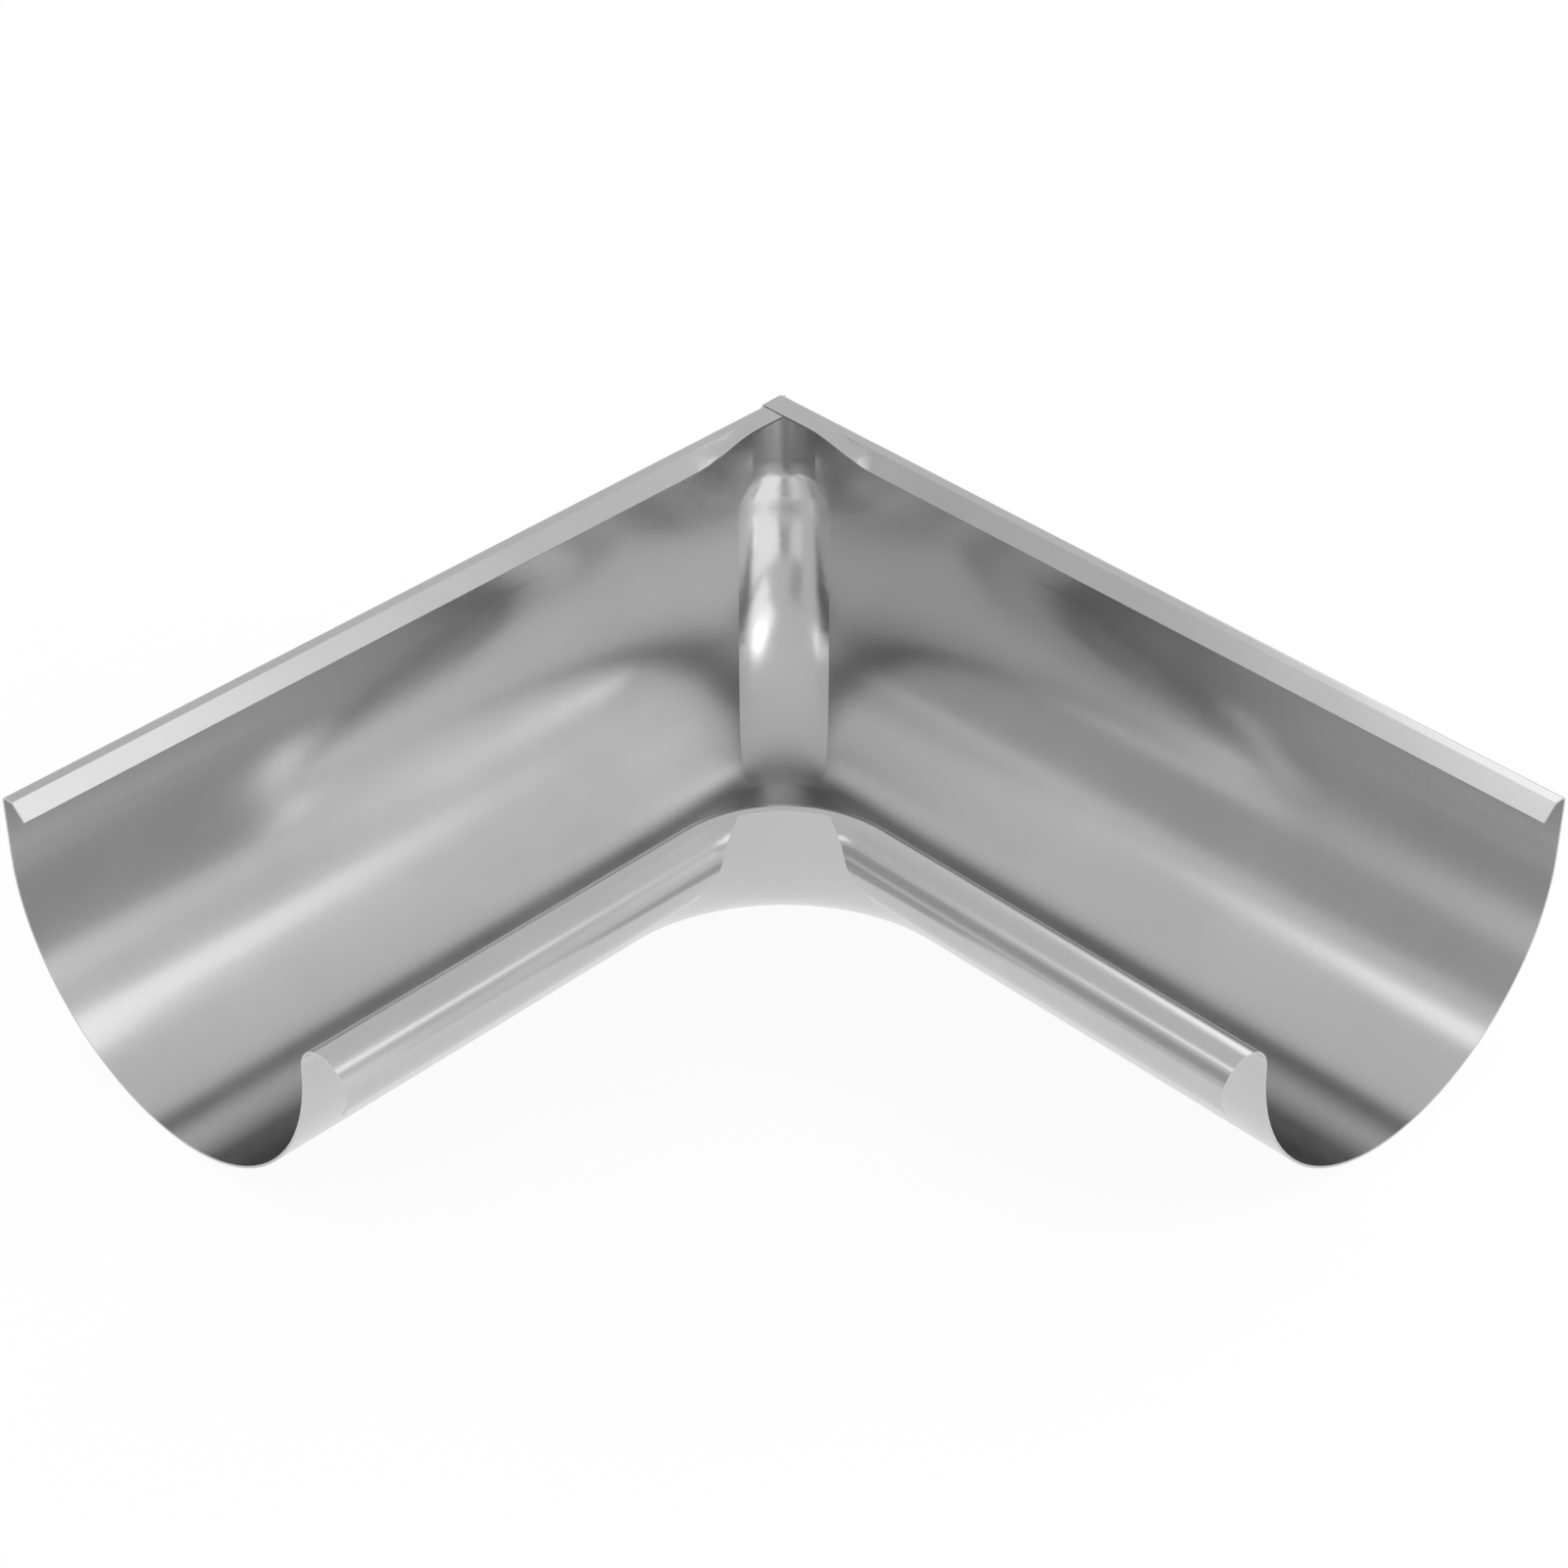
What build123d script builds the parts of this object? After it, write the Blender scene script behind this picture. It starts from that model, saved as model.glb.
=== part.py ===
from build123d import *
import os
from math import cos, pi, radians, sin, tan

# Driving dimensions, in millimetres and degrees.
# The angle stands on its trough bottoms, mouth up, with the origin at the middle of its foot.
arm_length = 300.0            # each arm, from the outer corner to its open end
sheet = 0.7                   # thickness of the galvanised sheet
trough_radius = 63.0          # outside radius of the half-round trough
wall_rise = 18.7              # straight back wall above the trough's centre height
bead_radius = 9.25            # outside radius of the rolled front bead
bead_turn = 223.0             # how far the sheet is rolled round the bead
bead_corner_radius = 33.0     # plan radius of the bead's centre line at the inside corner

# Folded edge along the top of the back wall
fold_radius = 2.0             # outside radius of its bend
fold_top = 4.8                # back wall to the ridge where the lip turns down
lip_length = 6.5              # lip below that ridge, along its slope
lip_slope = 41.0              # slope of the lip along the arms
level_width = 9.5             # width of the almost level edge at the outer corner
level_slope = 2.0             # slope of the lip there
level_run = 21.0              # outer corner to the end of that level stretch
twist_run = 28.0              # stretch in which the lip turns to its full slope
twist_steps = 4               # stretches between the sections of that twist
lap_gap = 0.7                 # open seam where one arm's edge ends against the other's

# Outer corner, pressed to a narrow round at the top and a wide one, the gusset, below a shoulder
corner_blend = 16.0           # outside radius of the upright corner above the shoulder
gusset_blend = 22.7           # outside radius of the gusset, in level section
gusset_top = 50.5             # height at which the shoulder meets the gusset
shoulder_rise = 9.0           # height of the shoulder
corner_steps = 32             # stretches between the level contours of the pressed corner
crease = 0.05                 # how far outside the walls the rounds end, which leaves a fine crease

# Opening trimmed in the bead at the inside corner, seen from the front
notch_top_width = 29.2        # its width at the outline's upper edge
notch_waist_width = 34.2      # its width at the waist
notch_foot_width = 48.0       # its width at the bead's free edge
notch_top_rise = 0.6          # bead's crest up to the outline's upper edge
notch_waist_drop = 7.5        # bead's crest to the notch's waist
notch_foot_drop = 16.0        # bead's crest to the notch's foot
notch_corner = 6.0            # radius of its upper corners
notch_flare = 8.0             # radius at its waist
flare_share = 0.95            # most of a side's straight length that the flare may take up

margin = 6.0                  # overrun of the cutting forms

# Dependent sizes
outer_corner = Vector(-arm_length / 2, -arm_length / 2, 0)
bead_centre = 2 * trough_radius - sheet + bead_radius
inner_corner = bead_centre + bead_corner_radius
bead_crest = trough_radius + bead_radius
wall_top = trough_radius + wall_rise
fold_crest = wall_top + fold_radius
level_lip = level_width - fold_top
lap_start = level_width + lap_gap
twist_end = level_run + twist_run
inner_axis = Axis(outer_corner + Vector(inner_corner, inner_corner, 0), (0, 0, 1))
mitre = Plane(origin=outer_corner, x_dir=(1, 1, 0), z_dir=(1, -1, 0))
bead_vertex = inner_axis.position - Vector(1, 1, 0).normalized() * bead_corner_radius
front = Plane(origin=bead_vertex, x_dir=(-1, 1, 0), z_dir=(1, 1, 0))

# Sides of the notch above and below its waist, and the flare that finds room on both
notch_side = Vector((notch_waist_width - notch_top_width) / 2, notch_waist_drop + notch_top_rise)
notch_skirt = Vector((notch_foot_width - notch_waist_width) / 2, notch_foot_drop - notch_waist_drop)
corner_run = notch_corner * tan(radians(notch_side.get_angle(Vector(1, 0))) / 2)
flare_room = flare_share * min(notch_side.length - corner_run, notch_skirt.length)
flare_radius = min(notch_flare, flare_room / tan(radians(notch_side.get_angle(notch_skirt)) / 2))


def across(along):
    """Upright plane across the first arm: x runs from the back wall to the bead, y runs up."""
    return Plane(origin=outer_corner + Vector(along, 0, 0), x_dir=(0, 1, 0), z_dir=(1, 0, 0))


def front_section():
    """Section of the sheet from the trough's bottom round to the bead's free edge."""
    centre = (trough_radius, trough_radius)
    roll_centre = (bead_centre, trough_radius)
    with BuildSketch() as section:
        with BuildLine():
            under = CenterArc(centre, trough_radius, 270, 90)
            roll_inside = CenterArc(roll_centre, bead_radius - sheet, 180, -bead_turn)
            roll_outside = CenterArc(roll_centre, bead_radius, 180 - bead_turn, bead_turn)
            over = CenterArc(centre, trough_radius - sheet, 0, -90)
            Line(roll_inside @ 1, roll_outside @ 0)
            Line(over @ 1, under @ 0)
        make_face()
    return section.sketch


def smooth_step(share):
    """Share of a smooth S-shaped change, level at both of its ends."""
    share = min(max(share, 0), 1)
    return share * share * (3 - 2 * share)


def fold_section(slope, length):
    """Section of the folded edge above the back wall: bend, level top and sloping lip."""
    centre = (fold_radius, wall_top)
    ridge = Vector(fold_top, fold_crest)
    edge = ridge + Vector(cos(radians(slope)), -sin(radians(slope))) * length
    skin = Vector(-sin(radians(slope)), -cos(radians(slope))) * sheet
    ridge_under = ridge - Vector(sheet * tan(radians(slope / 2)), sheet)
    with BuildSketch() as section:
        with BuildLine():
            outside = CenterArc(centre, fold_radius, 180, -90)
            inside = CenterArc(centre, fold_radius - sheet, 90, 90)
            Polyline(outside @ 1, ridge, edge, edge + skin, ridge_under, inside @ 0)
            Line(inside @ 1, outside @ 0)
        make_face()
    return section.sketch


def fold_straight(start, end, slope, length):
    """Straight stretch of the folded edge between two distances from the outer corner."""
    with BuildPart() as fold:
        with BuildSketch(across(end)):
            add(fold_section(slope, length))
        extrude(amount=start - end)
    return fold.part


def fold_twist():
    """Stretch in which the lip turns from level to its full slope, in a smooth S."""
    with BuildPart() as fold:
        for step in range(twist_steps + 1):
            share = step / twist_steps
            turned = smooth_step(share)
            slope = level_slope + (lip_slope - level_slope) * turned
            length = level_lip + (lip_length - level_lip) * turned
            with BuildSketch(across(level_run + twist_run * share)):
                add(fold_section(slope, length))
        loft()
    return fold.part


def contour(turn, inset, reach):
    """Height and level outline of the pressed corner, at an angle down the trough's wall.

    The outline runs `crease` outside both walls and turns the corner in one round.
    """
    radius = trough_radius - inset + crease
    height = trough_radius - radius * sin(radians(turn))
    wall = trough_radius - radius * cos(radians(turn))
    pressed = smooth_step((gusset_top + shoulder_rise - height) / shoulder_rise)
    blend = corner_blend + (gusset_blend - corner_blend) * pressed - inset
    with BuildSketch() as outline:
        with Locations((wall, wall)):
            Rectangle(reach - wall, reach - wall, align=(Align.MIN, Align.MIN))
        fillet(vertices().sort_by(lambda vertex: vertex.X + vertex.Y)[0], blend)
    return height, outline.sketch


def pressed_form(inset, reach):
    """Form that takes the gusset, its shoulder and the upright corner off the sharp mitre."""
    with BuildPart() as form:
        for step in range(corner_steps + 1):
            turn = 45 + 45 * cos(pi * step / corner_steps)
            height, outline = contour(turn, inset, reach)
            with BuildSketch(Plane(outer_corner + Vector(0, 0, height))):
                add(outline)
        loft()
        with BuildSketch(Plane(outer_corner + Vector(0, 0, trough_radius))):
            add(contour(0, inset, reach)[1])
        extrude(amount=wall_rise + 2 * margin)
    return form.part


def back_corner(inset, overrun):
    """Filled form of the trough's outer corner, its faces `inset` inside the sheet's outer ones."""
    reach = arm_length + overrun
    top = wall_top + overrun
    with BuildPart() as form:
        with BuildSketch(across(reach)):
            with BuildLine():
                quarter = CenterArc((trough_radius, trough_radius), trough_radius - inset, 180, 90)
                Polyline(quarter @ 1, (reach, inset), (reach, top), (inset, top), quarter @ 0)
            make_face()
        extrude(amount=-reach)
        split(bisect_by=mitre, keep=Keep.TOP)
        mirror(about=mitre)
        add(pressed_form(inset, reach + margin), mode=Mode.INTERSECT)
    return form.part


with BuildPart() as arm:
    with BuildSketch(across(arm_length)):
        add(front_section())
    extrude(amount=inner_corner - arm_length)
    add(fold_straight(twist_end, arm_length, lip_slope, lip_length))
    add(fold_twist())
    add(fold_straight(lap_start, level_run, level_slope, level_lip))

with BuildPart() as lap:
    add(fold_straight(0, lap_start, level_slope, level_lip))
    with BuildSketch(Plane(outer_corner + Vector(0, 0, wall_top))):
        Rectangle(sheet, lap_start, align=(Align.MIN, Align.MIN))
    extrude(amount=fold_radius - sheet)

with BuildPart() as notch:
    with BuildSketch(front):
        with BuildLine():
            top = bead_crest + notch_top_rise
            waist = bead_crest - notch_waist_drop
            foot = bead_crest - notch_foot_drop
            Polyline(
                (-notch_foot_width / 2, foot),
                (-notch_waist_width / 2, waist),
                (-notch_top_width / 2, top),
                (notch_top_width / 2, top),
                (notch_waist_width / 2, waist),
                (notch_foot_width / 2, foot),
                close=True,
            )
        make_face()
        fillet(vertices().group_by(Axis.Y)[-1], notch_corner)
        fillet(vertices().group_by(Axis.Y)[1], flare_radius)
    extrude(amount=bead_corner_radius)
    with BuildSketch(Plane(inner_axis.position)):
        Circle(bead_corner_radius)
    extrude(amount=bead_crest + margin, mode=Mode.INTERSECT)

with BuildPart() as gutter_angle:
    add(back_corner(0, 0))
    add(back_corner(sheet, margin), mode=Mode.SUBTRACT)
    with BuildSketch(Plane(outer_corner)):
        with Locations((trough_radius, trough_radius)):
            Rectangle(arm_length, arm_length, align=(Align.MIN, Align.MIN))
        inside = vertices().sort_by(lambda vertex: vertex.X + vertex.Y)[0]
        fillet(inside, inner_corner - trough_radius)
    extrude(amount=wall_top + margin, mode=Mode.SUBTRACT)
    with BuildSketch(across(inner_corner)):
        add(front_section())
    revolve(axis=inner_axis, revolution_arc=-90)
    add(arm.part)
    mirror(arm.part, about=mitre)
    mirror(lap.part, about=mitre)
    add(notch.part, mode=Mode.SUBTRACT)

gutter_angle.part.label = "gutter_angle"

os.makedirs("parts", exist_ok=True)
export_step(gutter_angle.part, "parts/gutter_angle.step")
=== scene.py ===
from math import cos, pi, radians, sin, tan

import bpy
import numpy as np
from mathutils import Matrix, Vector

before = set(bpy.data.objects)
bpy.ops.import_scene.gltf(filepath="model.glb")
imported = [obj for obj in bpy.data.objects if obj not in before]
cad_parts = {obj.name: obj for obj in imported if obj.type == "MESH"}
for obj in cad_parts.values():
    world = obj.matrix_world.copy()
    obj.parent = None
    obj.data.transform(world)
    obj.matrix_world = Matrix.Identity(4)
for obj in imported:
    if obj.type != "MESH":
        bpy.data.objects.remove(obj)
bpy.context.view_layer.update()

# Internal gutter angle: one corner pressed from galvanised steel sheet, standing on its trough
# bottoms with its mouth up. Its shape is the solid's own. This script gives it its finish, the
# studio and the camera. Lengths are metres from the middle of its foot.
MM = 0.001

DRIFT_WIDTH = 45 * MM         # how far apart the zinc's lighter and darker places lie
DRIFT_SPAN = (0.3, 0.7)       # share of the noise over which tone and gloss change
GRAIN_WIDTH = 0.5 * MM        # roll grain as drawn: the real one is about 0.1 mm, too fine to show
GRAIN_DEPTH = 0.01 * MM
GLOSS_SPAN = (0.185, 0.215)   # roughness of the glossiest and the dullest places

STUDIO_RADIUS = 2.5           # distance of the lamps and cards from the part
ROOM_LEVEL = 0.78             # light of the white room; the lamps bring it up to about 1
FLOOR_REACH = 4.0             # half the floor's width
FLOOR_GAP = 0.1 * MM          # floor below the part's foot

# Lens and place of the camera that show the part as the photograph does
LENS = 87.95                  # mm, with a sensor 36 mm wide
CAMERA_PLACE = Vector((588.65, 588.65, 704.97)) * MM
CAMERA_TURN = radians(225)    # azimuth in which it looks, along the corner's diagonal
CAMERA_DIP = 0.6382           # how far below level it looks, in radians


def linear_colour(code):
    """Linear RGBA of an sRGB hex code, by the standard sRGB curve."""
    parts = [int(code[place:place + 2], 16) / 255 for place in (1, 3, 5)]
    return (*[c / 12.92 if c <= 0.04045 else ((c + 0.055) / 1.055) ** 2.4 for c in parts], 1.0)


def add_node(tree, kind, settings=(), links=()):
    """One shader node; settings pair a property or input with a value, links an input with a source."""
    node = tree.nodes.new(kind)
    for name, value in settings:
        if isinstance(name, int) or name in node.inputs:
            node.inputs[name].default_value = value
        else:
            setattr(node, name, value)
    for name, source in links:
        tree.links.new(source, node.inputs[name])
    return node


def empty_material(name):
    """A material with an empty node tree, and that tree."""
    material = bpy.data.materials.new(name)
    material.use_nodes = True
    material.node_tree.nodes.clear()
    return material, material.node_tree


def galvanised_sheet():
    """Hot-dip galvanised steel sheet, skin-passed between smooth rolls.

    The zinc gives a neutral light grey metal with a satin gloss: soft-edged bands of the room run
    along the trough. Its tone and gloss drift a little over some centimetres, as the coating does,
    and the rolls leave a fine grain in it.
    """
    low, high = DRIFT_SPAN
    material, tree = empty_material("hot-dip galvanised steel sheet")
    place = add_node(tree, "ShaderNodeTexCoord").outputs["Object"]
    drift = add_node(tree, "ShaderNodeTexNoise", [
        ("Scale", 1 / DRIFT_WIDTH), ("Detail", 2.0), ("Roughness", 0.5),
    ], [("Vector", place)]).outputs["Fac"]
    grain = add_node(tree, "ShaderNodeTexNoise", [
        ("Scale", 1 / GRAIN_WIDTH), ("Detail", 1.0),
    ], [("Vector", place)]).outputs["Fac"]
    tone = add_node(tree, "ShaderNodeValToRGB", links=[("Fac", drift)])
    for stop, share, grey in zip(tone.color_ramp.elements, DRIFT_SPAN, ("#C0C0C0", "#C5C5C5")):
        stop.position = share
        stop.color = linear_colour(grey)
    gloss = add_node(tree, "ShaderNodeMapRange", [
        ("From Min", low), ("From Max", high), ("To Min", GLOSS_SPAN[0]), ("To Max", GLOSS_SPAN[1]),
    ], [("Value", drift)]).outputs["Result"]
    relief = add_node(tree, "ShaderNodeBump", [
        ("Strength", 0.01), ("Distance", GRAIN_DEPTH),
    ], [("Height", grain)]).outputs["Normal"]
    shader = add_node(tree, "ShaderNodeBsdfPrincipled", [
        ("Metallic", 1.0),
    ], [("Base Color", tone.outputs["Color"]), ("Roughness", gloss), ("Normal", relief)])
    add_node(tree, "ShaderNodeOutputMaterial", links=[("Surface", shader.outputs[0])])
    return material


def white_paper():
    """Matt white paper: it keeps the part's soft shadow, and metal and camera see it as white."""
    material, tree = empty_material("matt white paper")
    rays = add_node(tree, "ShaderNodeLightPath")
    matt = add_node(tree, "ShaderNodeBsdfDiffuse", [("Color", linear_colour("#F6F6F6"))]).outputs[0]
    white = add_node(tree, "ShaderNodeEmission", [("Strength", 1.0)]).outputs[0]
    surface = matt
    for ray, whiteness in (("Is Camera Ray", 0.93), ("Is Glossy Ray", 0.95), ("Is Transmission Ray", 0.95)):
        seen = add_node(tree, "ShaderNodeMixShader", [(0, whiteness)], [(1, matt), (2, white)]).outputs[0]
        surface = add_node(tree, "ShaderNodeMixShader", links=[
            (0, rays.outputs[ray]), (1, surface), (2, seen)]).outputs[0]
    add_node(tree, "ShaderNodeOutputMaterial", links=[("Surface", surface)])
    return material


def grey_card(level):
    """Card of a plain grey, given as the brightness that the metal sees."""
    material, tree = empty_material(f"grey card {level:.2f}")
    glow = add_node(tree, "ShaderNodeEmission", [("Strength", level)])
    add_node(tree, "ShaderNodeOutputMaterial", links=[("Surface", glow.outputs[0])])
    return material


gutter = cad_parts["gutter_angle"]
zinc = galvanised_sheet()
for place in gutter.material_slots:
    place.material = zinc


def stand(azimuth, elevation):
    """Point at an azimuth from +X and a height angle on the studio's dome, and the turn to face the part."""
    way = Vector((cos(azimuth) * cos(elevation), sin(azimuth) * cos(elevation), sin(elevation)))
    return way * STUDIO_RADIUS, way.to_track_quat("Z", "Y").to_euler()


def panel_size(from_azimuth, to_azimuth, low, high):
    """Width and height of the flat panel that covers those angles, seen from the part."""
    middle = (low + high) / 2
    width = 2 * STUDIO_RADIUS * tan((to_azimuth - from_azimuth) / 2) * cos(middle)
    return width, 2 * STUDIO_RADIUS * tan((high - low) / 2)


def softbox(name, from_azimuth, to_azimuth, low, high, level):
    """Evenly lit rectangle that the metal sees at this brightness above the white room."""
    angles = [radians(a) for a in (from_azimuth, to_azimuth, low, high)]
    width, height = panel_size(*angles)
    light = bpy.data.lights.new(name, "AREA")
    light.shape = "RECTANGLE"
    light.size = width
    light.size_y = height
    light.energy = level * pi * width * height
    lamp = bpy.data.objects.new(name, light)
    lamp.location, lamp.rotation_euler = stand((angles[0] + angles[1]) / 2, (angles[2] + angles[3]) / 2)
    lamp.visible_camera = False
    bpy.context.scene.collection.objects.link(lamp)


def flat_sheet(name, width, height, material):
    """Flat rectangle whose corners lie half its width and half its height from its middle."""
    corners = np.array([(-1, -1, 0), (1, -1, 0), (1, 1, 0), (-1, 1, 0)]) * (width / 2, height / 2, 1)
    mesh = bpy.data.meshes.new(name)
    mesh.from_pydata(corners.tolist(), [], [(0, 1, 2, 3)])
    mesh.materials.append(material)
    return bpy.data.objects.new(name, mesh)


def card(name, from_azimuth, to_azimuth, low, high, level):
    """Flat grey card that stands between the part and the white room."""
    angles = [radians(a) for a in (from_azimuth, to_azimuth, low, high)]
    board = flat_sheet(name, *panel_size(*angles), grey_card(level))
    board.location, board.rotation_euler = stand((angles[0] + angles[1]) / 2, (angles[2] + angles[3]) / 2)
    board.visible_camera = False
    bpy.context.scene.collection.objects.link(board)


def white_room():
    """World that lights the part evenly from all sides, and that the camera sees as plain white."""
    world = bpy.data.worlds.new("white room")
    world.use_nodes = True
    tree = world.node_tree
    tree.nodes.clear()
    white = ("Color", (1, 1, 1, 1))
    room = add_node(tree, "ShaderNodeBackground", [white, ("Strength", ROOM_LEVEL)]).outputs[0]
    backdrop = add_node(tree, "ShaderNodeBackground", [white, ("Strength", 1.0)]).outputs[0]
    rays = add_node(tree, "ShaderNodeLightPath")
    seen = add_node(tree, "ShaderNodeMixShader", links=[
        (0, rays.outputs["Is Camera Ray"]), (1, room), (2, backdrop),
    ])
    add_node(tree, "ShaderNodeOutputWorld", links=[("Surface", seen.outputs[0])])
    return world


bpy.context.scene.world = white_room()

# Each lamp and card: the azimuths from which to which it reaches, the height angles from which to
# which, all in degrees, and how bright the metal sees it.
softbox("window at the right", 54, 112, 1, 43, 0.58)
softbox("low window at the right", 93, 112, 1, 22, 0.6)
softbox("light above the right", 78, 139, 49, 61, 0.72)
softbox("high light at the right", 78, 108, 61, 74, 0.95)
softbox("bright high light at the right", 108, 139, 61, 74, 2.05)
softbox("low window at the back right", 135, 165, 1, 30, 4.0)
softbox("bright window at the back left", 168, 189, 16, 49, 1.85)
softbox("window at the back left", 189, 210, 16, 49, 0.90)
softbox("window at the left", 277, 300, 1, 40, 0.92)
softbox("low window beside it", 255, 277, 1, 20, 1.0)
softbox("high window beside it", 255, 277, 30, 40, 1.5)
softbox("light above the left", 308, 327, 54, 64, 1.02)
softbox("small light by the camera", 15, 30, 13, 40, 0.25)
card("dark card at the left", 307, 341, 16, 43, 0.47)
card("card high at the left", 278, 307, 41, 52, 0.56)
card("black card high at the left", 248, 278, 41, 52, 0.05)
card("card at the right", 113, 128, 30, 40, 0.68)
card("card behind the camera", 38, 52, 20, 40, 0.47)
card("card high by the camera", 8, 30, 41, 64, 0.52)

floor = flat_sheet("floor", 2 * FLOOR_REACH, 2 * FLOOR_REACH, white_paper())
floor.location.z = -FLOOR_GAP
bpy.context.scene.collection.objects.link(floor)

lens = bpy.data.cameras.new("camera")
lens.lens = LENS
lens.sensor_width = 36.0
camera = bpy.data.objects.new("camera", lens)
camera.location = CAMERA_PLACE
look = Vector((
    cos(CAMERA_TURN) * cos(CAMERA_DIP), sin(CAMERA_TURN) * cos(CAMERA_DIP), -sin(CAMERA_DIP),
))
camera.rotation_euler = look.to_track_quat("-Z", "Y").to_euler()
bpy.context.scene.collection.objects.link(camera)
bpy.context.scene.camera = camera
bpy.context.scene.view_settings.view_transform = "Standard"
